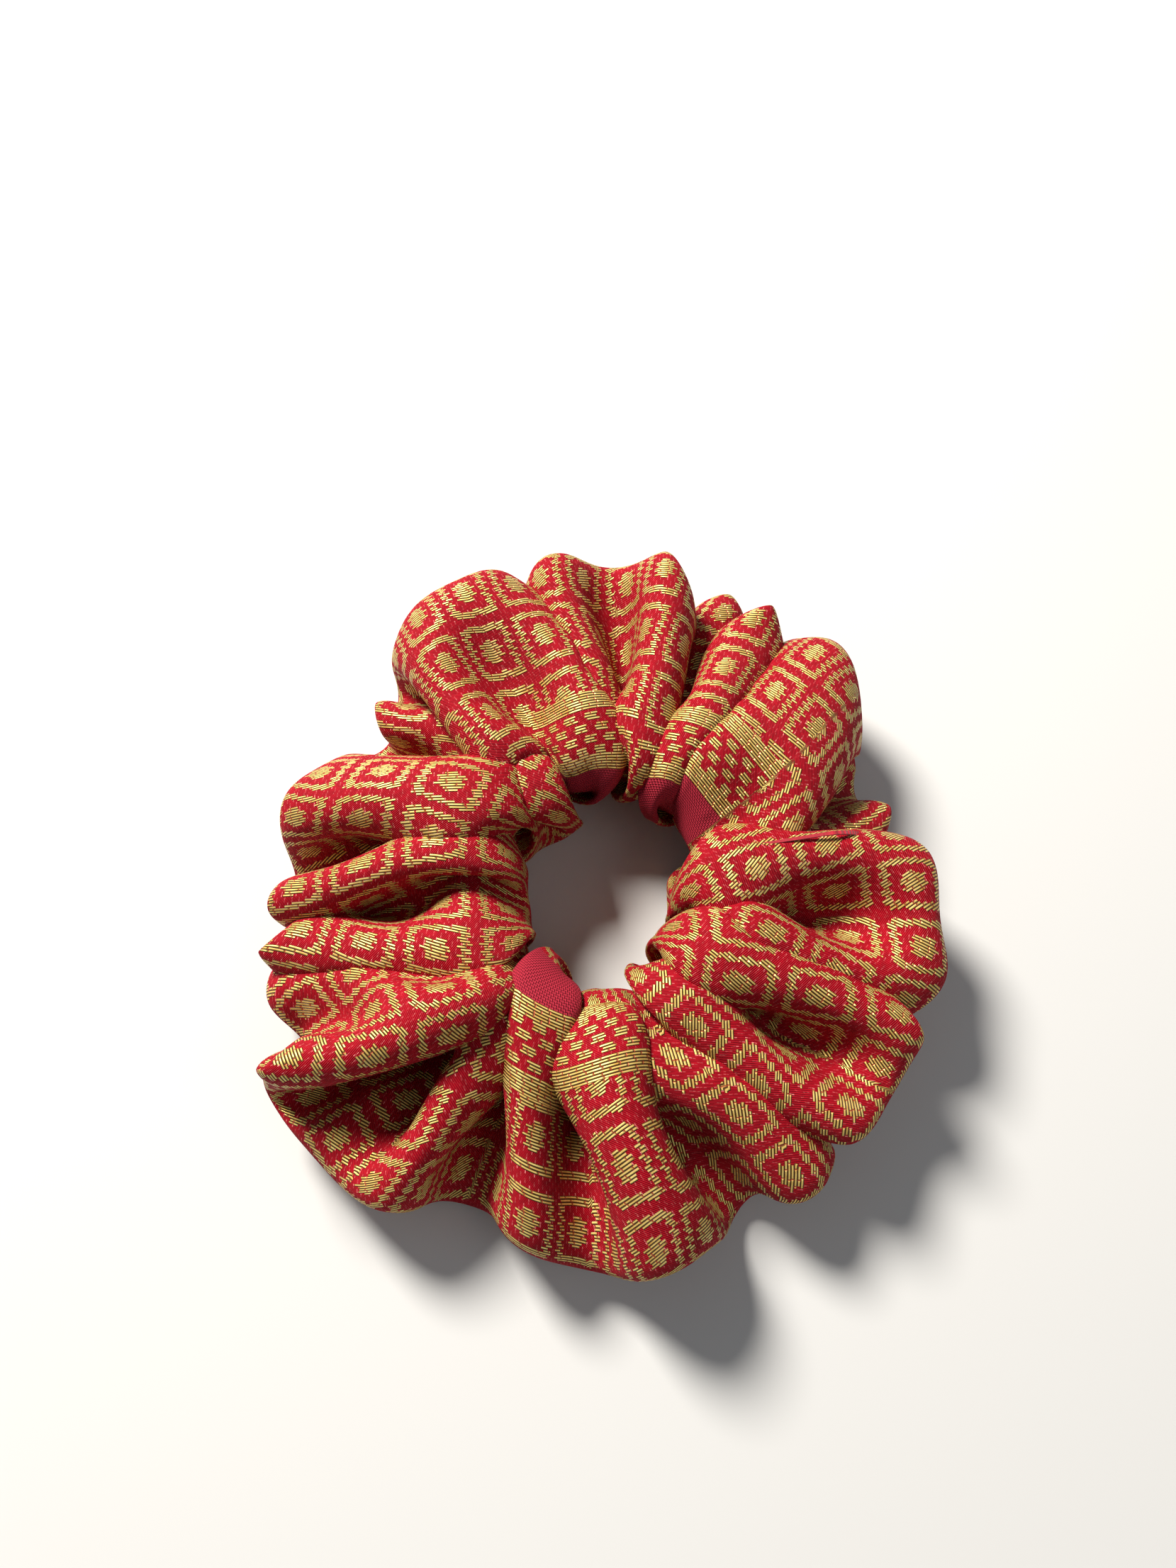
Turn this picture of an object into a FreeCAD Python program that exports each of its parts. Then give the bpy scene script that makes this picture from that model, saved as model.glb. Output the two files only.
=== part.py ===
"""Scrunchie: a brocade cloth tube gathered on a loop of flat elastic.

The gathered cover is a ring of puffed gathers. Each gather is one hollow closed solid, so that the ring can open
when the elastic stretches. The elastic, its stitches and the seam threads lie inside or around the gathers.
Lengths are in millimetres, angles in degrees about +Z from +X. The ring lies flat on z = 0.
"""
import FreeCAD, Part
import math
import os
import Sketcher

V = FreeCAD.Vector
doc = FreeCAD.newDocument("scrunchie")

# ---------------------------------------------------------------- sizes
sheet = doc.addObject("Spreadsheet::Sheet", "Sizes")
_row = [1]


def size(alias, value, note=""):
    r = _row[0]
    sheet.set(f"A{r}", alias)
    sheet.set(f"B{r}", str(value))
    if note:
        sheet.set(f"C{r}", note)
    sheet.setAlias(f"B{r}", alias)
    _row[0] += 1


size("ring_x", 2.39, "centre of the elastic loop, from the middle of the whole ring")
size("ring_y", -2.00)
size("hole_radius", 16.0, "mean inner wall of the relaxed ring")
size("grip_low", 9.0, "straight part of the inner wall")
size("grip_high", 19.0)
size("cover_wall", 1.6, "bunched cloth, two to three layers")
size("gap_angle", 0.9, "space between neighbouring gathers")
size("end_wall_angle", 4.6, "folded cloth between two gathers")
size("bottom_corner", 8.0)
size("channel_inner", 20.0, "way through the gathers for the elastic")
size("channel_outer", 23.3)
size("channel_low", 7.6)
size("channel_high", 18.4)
size("elastic_inner", 20.5)
size("elastic_thick", 1.0)
size("elastic_low", 10.9)
size("elastic_width", 7.0)
size("lap_angle", 30.0, "where the two ends of the elastic lie over each other")
size("stitch_thick", 0.35)
size("thread_size", 0.5)
size("end_proud", 0.4)

# name, from, to, outer radius, top
GATHERS = [
    ("gather_01", 138.0, 174.0, 57.0, 28.5),
    ("gather_02", 104.0, 138.0, 57.5, 29.0),
    ("gather_03", 72.0, 104.0, 62.0, 30.0),
    ("gather_04", 58.0, 72.0, 58.5, 27.5),
    ("gather_05", 36.0, 58.0, 60.0, 29.0),
    ("gather_06", 11.0, 36.0, 50.5, 26.5),
    ("gather_07", -24.0, 5.0, 53.0, 27.5),
    ("gather_08", -57.0, -24.0, 52.0, 27.0),
    ("gather_09", -70.0, -57.0, 48.5, 27.5),
    ("gather_10", -92.0, -70.0, 58.0, 29.0),
    ("gather_11", -117.0, -92.0, 54.5, 24.5),
    ("gather_12", -140.0, -117.0, 60.0, 23.5),
    ("gather_13", -165.0, -140.0, 60.5, 28.0),
    ("gather_14", -186.0, -165.0, 56.0, 29.0),
]
ENDS = [("cover_end_over", 8.0, 11.0, 43.0, 23.0), ("cover_end_tucked", 5.0, 8.0, 42.0, 22.0)]

for name, lo, hi, rout, top in GATHERS + ENDS:
    size(name + "_from", lo)
    size(name + "_to", hi)
    size(name + "_outer", rout)
    size(name + "_top", top)
doc.recompute()


def get(alias):
    return float(sheet.get(alias))


# ---------------------------------------------------------------- helpers
def plane(body, role):
    for f in body.Origin.OriginFeatures:
        if getattr(f, "Role", "") == role:
            return f
    raise RuntimeError(role)


def new_body(label):
    b = doc.addObject("PartDesign::Body", label)
    b.Label = label
    return b


def new_sketch(body, label, role="XZ_Plane"):
    s = body.newObject("Sketcher::SketchObject", label)
    s.AttachmentSupport = [(plane(body, role), "")]
    s.MapMode = "FlatFace"
    return s


def rounded(sketch, x0, x1, y0, y1, r_il, r_ih, r_oh, r_ol, bind):
    """A closed outline with a straight inner and outer side and four round corners: inner low, inner high, outer high, outer low.
    bind maps each of the eight sizes to its expression."""
    pi = math.pi
    L = Part.LineSegment
    A = lambda cx, cy, r, a, b: Part.ArcOfCircle(Part.Circle(V(cx, cy, 0), V(0, 0, 1), r), a, b)
    g = [
        L(V(x0 + r_il, y0, 0), V(x1 - r_ol, y0, 0)),
        A(x1 - r_ol, y0 + r_ol, r_ol, -pi / 2, 0),
        L(V(x1, y0 + r_ol, 0), V(x1, y1 - r_oh, 0)),
        A(x1 - r_oh, y1 - r_oh, r_oh, 0, pi / 2),
        L(V(x1 - r_oh, y1, 0), V(x0 + r_ih, y1, 0)),
        A(x0 + r_ih, y1 - r_ih, r_ih, pi / 2, pi),
        L(V(x0, y1 - r_ih, 0), V(x0, y0 + r_il, 0)),
        A(x0 + r_il, y0 + r_il, r_il, pi, 1.5 * pi),
    ]
    first = sketch.GeometryCount
    for one in g:
        sketch.addGeometry(one, False)
    i = [first + k for k in range(8)]
    add = lambda *a: sketch.addConstraint(Sketcher.Constraint(*a))
    # ends of the arcs, which run anticlockwise: start is 1, end is 2
    add("Tangent", i[0], 2, i[1], 1)
    add("Tangent", i[1], 2, i[2], 1)
    add("Tangent", i[2], 2, i[3], 1)
    add("Tangent", i[3], 2, i[4], 1)
    add("Tangent", i[4], 2, i[5], 1)
    add("Tangent", i[5], 2, i[6], 1)
    add("Tangent", i[6], 2, i[7], 1)
    add("Tangent", i[7], 2, i[0], 1)
    add("Horizontal", i[0])
    add("Vertical", i[2])
    add("Vertical", i[6])
    add("Horizontal", i[4])
    for key, args in (
        ("inner", ("DistanceX", -1, 1, i[6], 1, x0)),
        ("outer", ("DistanceX", -1, 1, i[2], 1, x1)),
        ("low", ("DistanceY", -1, 1, i[0], 1, y0)),
        ("high", ("DistanceY", -1, 1, i[4], 1, y1)),
        ("r_inner_low", ("Radius", i[7], r_il)),
        ("r_inner_high", ("Radius", i[5], r_ih)),
        ("r_outer_high", ("Radius", i[3], r_oh)),
        ("r_outer_low", ("Radius", i[1], r_ol)),
    ):
        n = add(*args)
        label = f"{key}_{first}"
        sketch.renameConstraint(n, label)
        if key in bind:
            sketch.setExpression(f"Constraints.{label}", bind[key])


def box_outline(sketch, x0, x1, y0, y1, bind):
    first = sketch.GeometryCount
    pts = [(x0, y0), (x1, y0), (x1, y1), (x0, y1)]
    for k in range(4):
        a, b = pts[k], pts[(k + 1) % 4]
        sketch.addGeometry(Part.LineSegment(V(a[0], a[1], 0), V(b[0], b[1], 0)), False)
    i = [first + k for k in range(4)]
    add = lambda *a: sketch.addConstraint(Sketcher.Constraint(*a))
    for k in range(4):
        add("Coincident", i[k], 2, i[(k + 1) % 4], 1)
    add("Horizontal", i[0])
    add("Horizontal", i[2])
    add("Vertical", i[1])
    add("Vertical", i[3])
    for key, args in (
        ("inner", ("DistanceX", -1, 1, i[0], 1, x0)),
        ("outer", ("DistanceX", -1, 1, i[0], 2, x1)),
        ("low", ("DistanceY", -1, 1, i[0], 1, y0)),
        ("high", ("DistanceY", -1, 1, i[2], 1, y1)),
    ):
        n = add(*args)
        label = f"{key}_{first}"
        sketch.renameConstraint(n, label)
        if key in bind:
            sketch.setExpression(f"Constraints.{label}", bind[key])


def turn(body, sketch, label, angle, expr=None, cut=False, symmetric=True):
    f = body.newObject("PartDesign::Groove" if cut else "PartDesign::Revolution", label)
    f.Profile = sketch
    f.ReferenceAxis = (sketch, ["V_Axis"])
    f.Angle = angle
    if symmetric:
        f.Midplane = True
    if expr:
        f.setExpression("Angle", expr)
    sketch.Visibility = False
    doc.recompute()
    return f


def place(body, lo, hi, lo_expr, hi_expr):
    body.Placement = FreeCAD.Placement(
        V(get("ring_x"), get("ring_y"), 0), FreeCAD.Rotation(V(0, 0, 1), (lo + hi) / 2)
    )
    body.setExpression("Placement.Base.x", "Sizes.ring_x")
    body.setExpression("Placement.Base.y", "Sizes.ring_y")


def end_edges(shape, half):
    """Edges of the two flat end faces of a gather, at plus and minus half the gather's angle."""
    names = []
    for k, e in enumerate(shape.Edges):
        ok = 0
        for t in (0.1, 0.5, 0.9):
            p = e.valueAt(e.FirstParameter + t * (e.LastParameter - e.FirstParameter))
            a = math.degrees(math.atan2(p.y, p.x))
            if abs(abs(a) - half) < 0.02:
                ok += 1
        if ok == 3:
            names.append(f"Edge{k + 1}")
    return names


made = {}


def make_gather(name, lo, hi, rout, top):
    b = new_body(name)
    wide = hi - lo
    gap, wall, endw = get("gap_angle"), get("cover_wall"), get("end_wall_angle")
    rin, g0, g1 = get("hole_radius"), get("grip_low"), get("grip_high")
    bc = get("bottom_corner")
    n = f"Sizes.{name}"
    ro = 0.46 * top
    s = new_sketch(b, name + "_outline")
    rounded(
        s, rin, rout, 0.0, top, g0, top - g1, ro, bc,
        {
            "inner": "Sizes.hole_radius",
            "outer": f"{n}_outer",
            "high": f"{n}_top",
            "r_inner_low": "Sizes.grip_low",
            "r_inner_high": f"{n}_top - Sizes.grip_high",
            "r_outer_high": f"0.46 * {n}_top",
            "r_outer_low": "Sizes.bottom_corner",
        },
    )
    rev = turn(b, s, name + "_puff", wide - gap, f"{n}_to - {n}_from - Sizes.gap_angle")
    if not rev.Shape.isValid():
        raise RuntimeError(name + " puff")
    edges = end_edges(rev.Shape, (wide - gap) / 2)
    if not edges:
        raise RuntimeError(name + " has no end edges")
    soft = min(3.6, 0.32 * math.radians(wide - gap) * rin)
    fil = b.newObject("PartDesign::Fillet", name + "_soft_ends")
    fil.Base = (rev, edges)
    fil.Radius = soft
    doc.recompute()
    if fil.Shape.isNull() or not fil.Shape.isValid() or fil.Shape.Volume >= rev.Shape.Volume:
        raise RuntimeError(name + " soft ends")
    before = fil.Shape.Volume
    c = new_sketch(b, name + "_hollow_outline")
    rounded(
        c, rin + wall, rout - wall, wall, top - wall, g0 - wall, top - g1 - wall, ro - wall, bc - wall,
        {
            "inner": "Sizes.hole_radius + Sizes.cover_wall",
            "outer": f"{n}_outer - Sizes.cover_wall",
            "low": "Sizes.cover_wall",
            "high": f"{n}_top - Sizes.cover_wall",
            "r_inner_low": "Sizes.grip_low - Sizes.cover_wall",
            "r_inner_high": f"{n}_top - Sizes.grip_high - Sizes.cover_wall",
            "r_outer_high": f"0.46 * {n}_top - Sizes.cover_wall",
            "r_outer_low": "Sizes.bottom_corner - Sizes.cover_wall",
        },
    )
    hol = turn(
        b, c, name + "_hollow", wide - gap - 2 * endw,
        f"{n}_to - {n}_from - Sizes.gap_angle - 2 * Sizes.end_wall_angle", cut=True,
    )
    if hol.Shape.Volume >= before - 1:
        raise RuntimeError(name + " hollow cut nothing")
    cut_channel(b, name, wide + 1)
    place(b, lo, hi, n + "_from", n + "_to")
    made[name] = b


def cut_channel(b, name, angle):
    before = b.Shape.Volume
    w = new_sketch(b, name + "_channel_outline")
    box_outline(
        w, get("channel_inner"), get("channel_outer"), get("channel_low"), get("channel_high"),
        {
            "inner": "Sizes.channel_inner", "outer": "Sizes.channel_outer",
            "low": "Sizes.channel_low", "high": "Sizes.channel_high",
        },
    )
    ch = turn(b, w, name + "_channel", angle, cut=True)
    if ch.Shape.Volume >= before - 0.5:
        raise RuntimeError(name + " channel cut nothing")


for g in GATHERS:
    make_gather(*g)

# The closing seam: one open end of the tube is tucked into the other.
for name, lo, hi, rout, top in ENDS:
    b = new_body(name)
    n = f"Sizes.{name}"
    s = new_sketch(b, name + "_outline")
    rounded(
        s, get("hole_radius") + 1, rout, get("end_proud") + 0.1, top, 7.0, 6.0, 8.0, 7.0,
        {
            "inner": "Sizes.hole_radius + 1", "outer": f"{n}_outer", "low": "Sizes.end_proud + 0.1",
            "high": f"{n}_top",
        },
    )
    turn(b, s, name + "_layers", hi - lo - get("gap_angle"), f"{n}_to - {n}_from - Sizes.gap_angle")
    cut_channel(b, name, hi - lo + 1)
    place(b, lo, hi, n + "_from", n + "_to")
    made[name] = b

# The closing seam's stitching, round the outside of the overlapping end.
name, lo, hi, rout, top = ENDS[0]
b = new_body("closing_seam_thread")
s = new_sketch(b, "closing_seam_outline")
p = get("end_proud")
rounded(
    s, get("hole_radius") + 1 - p, rout + p, 0.1, top + p, 7.0 + p, 6.0 + p, 8.0 + p, 7.0 + p,
    {
        "inner": "Sizes.hole_radius + 1 - Sizes.end_proud", "outer": f"Sizes.{name}_outer + Sizes.end_proud",
        "high": f"Sizes.{name}_top + Sizes.end_proud", "r_inner_low": "7 + Sizes.end_proud",
        "r_inner_high": "6 + Sizes.end_proud", "r_outer_high": "8 + Sizes.end_proud", "r_outer_low": "7 + Sizes.end_proud",
    },
)
rounded(
    s, get("hole_radius") + 1, rout, p + 0.1, top, 7.0, 6.0, 8.0, 7.0,
    {
        "inner": "Sizes.hole_radius + 1", "outer": f"Sizes.{name}_outer", "low": "Sizes.end_proud + 0.1",
        "high": f"Sizes.{name}_top",
    },
)
turn(b, s, "closing_seam_row", 0.9)
place(b, lo, hi, "", "")
made["closing_seam_thread"] = b

# The elastic: one flat loop whose ends lie over each other.
LAP_MID = 156.0
b = new_body("elastic_band")
s = new_sketch(b, "elastic_outline")
e0, et, ez, ew = get("elastic_inner"), get("elastic_thick"), get("elastic_low"), get("elastic_width")
box_outline(
    s, e0, e0 + et, ez, ez + ew,
    {
        "inner": "Sizes.elastic_inner", "outer": "Sizes.elastic_inner + Sizes.elastic_thick",
        "low": "Sizes.elastic_low", "high": "Sizes.elastic_low + Sizes.elastic_width",
    },
)
turn(b, s, "elastic_loop", 360.0, symmetric=False)
one_loop = b.Shape.Volume
s = new_sketch(b, "elastic_lap_outline")
box_outline(
    s, e0 + et, e0 + 2 * et, ez, ez + ew,
    {
        "inner": "Sizes.elastic_inner + Sizes.elastic_thick", "outer": "Sizes.elastic_inner + 2 * Sizes.elastic_thick",
        "low": "Sizes.elastic_low", "high": "Sizes.elastic_low + Sizes.elastic_width",
    },
)
turn(b, s, "elastic_lap", get("lap_angle"), "Sizes.lap_angle")
if b.Shape.Volume <= one_loop:
    raise RuntimeError("the elastic has no lap")
place(b, LAP_MID, LAP_MID, "", "")
made["elastic_band"] = b

# Six rows of zigzag stitches through the lap, as thin bars on its outer face.
b = new_body("elastic_lap_stitches")
s = new_sketch(b, "stitch_outline")
box_outline(
    s, e0 + 2 * et, e0 + 2 * et + get("stitch_thick"), ez + 0.8, ez + ew - 0.8,
    {
        "inner": "Sizes.elastic_inner + 2 * Sizes.elastic_thick",
        "outer": "Sizes.elastic_inner + 2 * Sizes.elastic_thick + Sizes.stitch_thick",
        "low": "Sizes.elastic_low + 0.8", "high": "Sizes.elastic_low + Sizes.elastic_width - 0.8",
    },
)
bar = turn(b, s, "stitch_bar", 1.2)
pat = b.newObject("PartDesign::PolarPattern", "stitch_rows")
pat.Originals = [bar]
pat.Axis = (s, ["V_Axis"])
pat.Angle = 20.0
b.Tip = pat
pat.Occurrences = 6
bar.Visibility = False
doc.recompute()
if len(b.Shape.Solids) != 6:
    raise RuntimeError(f"{len(b.Shape.Solids)} stitch bars")
b.Placement = FreeCAD.Placement(V(get("ring_x"), get("ring_y"), 0), FreeCAD.Rotation(V(0, 0, 1), LAP_MID - 10))
b.setExpression("Placement.Base.x", "Sizes.ring_x")
b.setExpression("Placement.Base.y", "Sizes.ring_y")
made["elastic_lap_stitches"] = b

# The thread of the long seam that closes the strip into a tube, running round inside the inner edge.
b = new_body("long_seam_thread")
s = new_sketch(b, "long_seam_outline")
t = get("thread_size")
box_outline(s, 21.0, 21.0 + t, 8.4, 8.4 + t, {"outer": "21 + Sizes.thread_size", "high": "8.4 + Sizes.thread_size"})
turn(b, s, "long_seam_row", 360.0, symmetric=False)
place(b, 0, 0, "", "")
made["long_seam_thread"] = b

doc.recompute()

# ---------------------------------------------------------------- check and export
bad = []
for o in doc.Objects:
    st = [x for x in o.State if x in ("Invalid", "Error")]
    if st:
        bad.append((o.Label, st))
for name, b in made.items():
    sh = b.Shape
    if sh.isNull() or not sh.isValid() or sh.Volume <= 0:
        bad.append((name, "shape"))
if bad:
    raise RuntimeError(str(bad))

os.makedirs("parts", exist_ok=True)
whole = Part.makeCompound([b.Shape for b in made.values()])
bb = whole.BoundBox
print("box %.3f..%.3f %.3f..%.3f %.3f..%.3f" % (bb.XMin, bb.XMax, bb.YMin, bb.YMax, bb.ZMin, bb.ZMax))
print("middle %.3f %.3f" % ((bb.XMin + bb.XMax) / 2, (bb.YMin + bb.YMax) / 2))
total = 0.0
for name, b in made.items():
    b.Shape.exportStep(f"parts/{name}.step")
    total += b.Shape.Volume
    print("%-24s solids %d volume %.1f mm3" % (name, len(b.Shape.Solids), b.Shape.Volume))
print("volume %.1f mm3" % total)
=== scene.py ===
"""A gathered hair scrunchie in crimson and gold brocade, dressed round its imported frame.

The cover is one tube of cloth, 700 mm long and 96 mm round, gathered onto an elastic ring. Its folds are found by
relaxing the cloth from a table of fold lines, with its own thickness, the elastic inside it and the table below it.
Lengths in the cloth part are millimetres about the ring's centre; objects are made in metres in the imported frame."""
import math
import numpy as np
import bpy
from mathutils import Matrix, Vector


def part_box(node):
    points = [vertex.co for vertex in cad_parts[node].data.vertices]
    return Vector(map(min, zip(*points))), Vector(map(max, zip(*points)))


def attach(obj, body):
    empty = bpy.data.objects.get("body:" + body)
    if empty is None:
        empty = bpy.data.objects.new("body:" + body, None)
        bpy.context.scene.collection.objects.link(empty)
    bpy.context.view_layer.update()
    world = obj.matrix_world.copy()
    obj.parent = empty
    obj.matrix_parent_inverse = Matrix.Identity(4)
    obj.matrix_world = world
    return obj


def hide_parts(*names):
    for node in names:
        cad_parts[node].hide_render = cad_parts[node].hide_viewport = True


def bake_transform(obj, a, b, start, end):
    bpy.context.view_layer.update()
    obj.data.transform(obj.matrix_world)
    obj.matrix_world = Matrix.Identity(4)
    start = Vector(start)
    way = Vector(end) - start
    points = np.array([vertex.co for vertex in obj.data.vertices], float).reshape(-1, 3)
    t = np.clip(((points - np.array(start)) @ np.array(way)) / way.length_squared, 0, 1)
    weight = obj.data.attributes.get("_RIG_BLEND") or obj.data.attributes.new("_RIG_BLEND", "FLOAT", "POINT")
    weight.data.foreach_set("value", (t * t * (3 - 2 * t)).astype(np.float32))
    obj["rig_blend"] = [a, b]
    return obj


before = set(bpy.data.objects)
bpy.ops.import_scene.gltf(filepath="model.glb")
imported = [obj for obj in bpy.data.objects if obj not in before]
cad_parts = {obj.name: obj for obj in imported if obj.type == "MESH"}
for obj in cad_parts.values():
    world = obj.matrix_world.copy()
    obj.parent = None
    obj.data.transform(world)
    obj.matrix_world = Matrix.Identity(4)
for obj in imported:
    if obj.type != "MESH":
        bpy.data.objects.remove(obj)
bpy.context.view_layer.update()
ringlo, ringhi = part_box("long_seam_thread")
CX, CY = (ringlo.x + ringhi.x) / 2, (ringlo.y + ringhi.y) / 2      # the ring's centre, in metres

# ------------------------------------------------------------------ camera
cam_data = bpy.data.cameras.new("view")
cam_data.lens, cam_data.sensor_width = 27.05, 36.0
cam_data.clip_start, cam_data.clip_end = 0.01, 10.0
cam_data.dof.use_dof = False
cam = bpy.data.objects.new("view", cam_data)
cam.location = (CX - 0.001869, CY - 0.055141, 0.194722)
cam.rotation_euler = (math.radians(22.0), 0.0, 0.0)
bpy.context.scene.collection.objects.link(cam)
bpy.context.scene.camera = cam
bpy.context.scene.view_settings.view_transform = "Standard"

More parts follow.
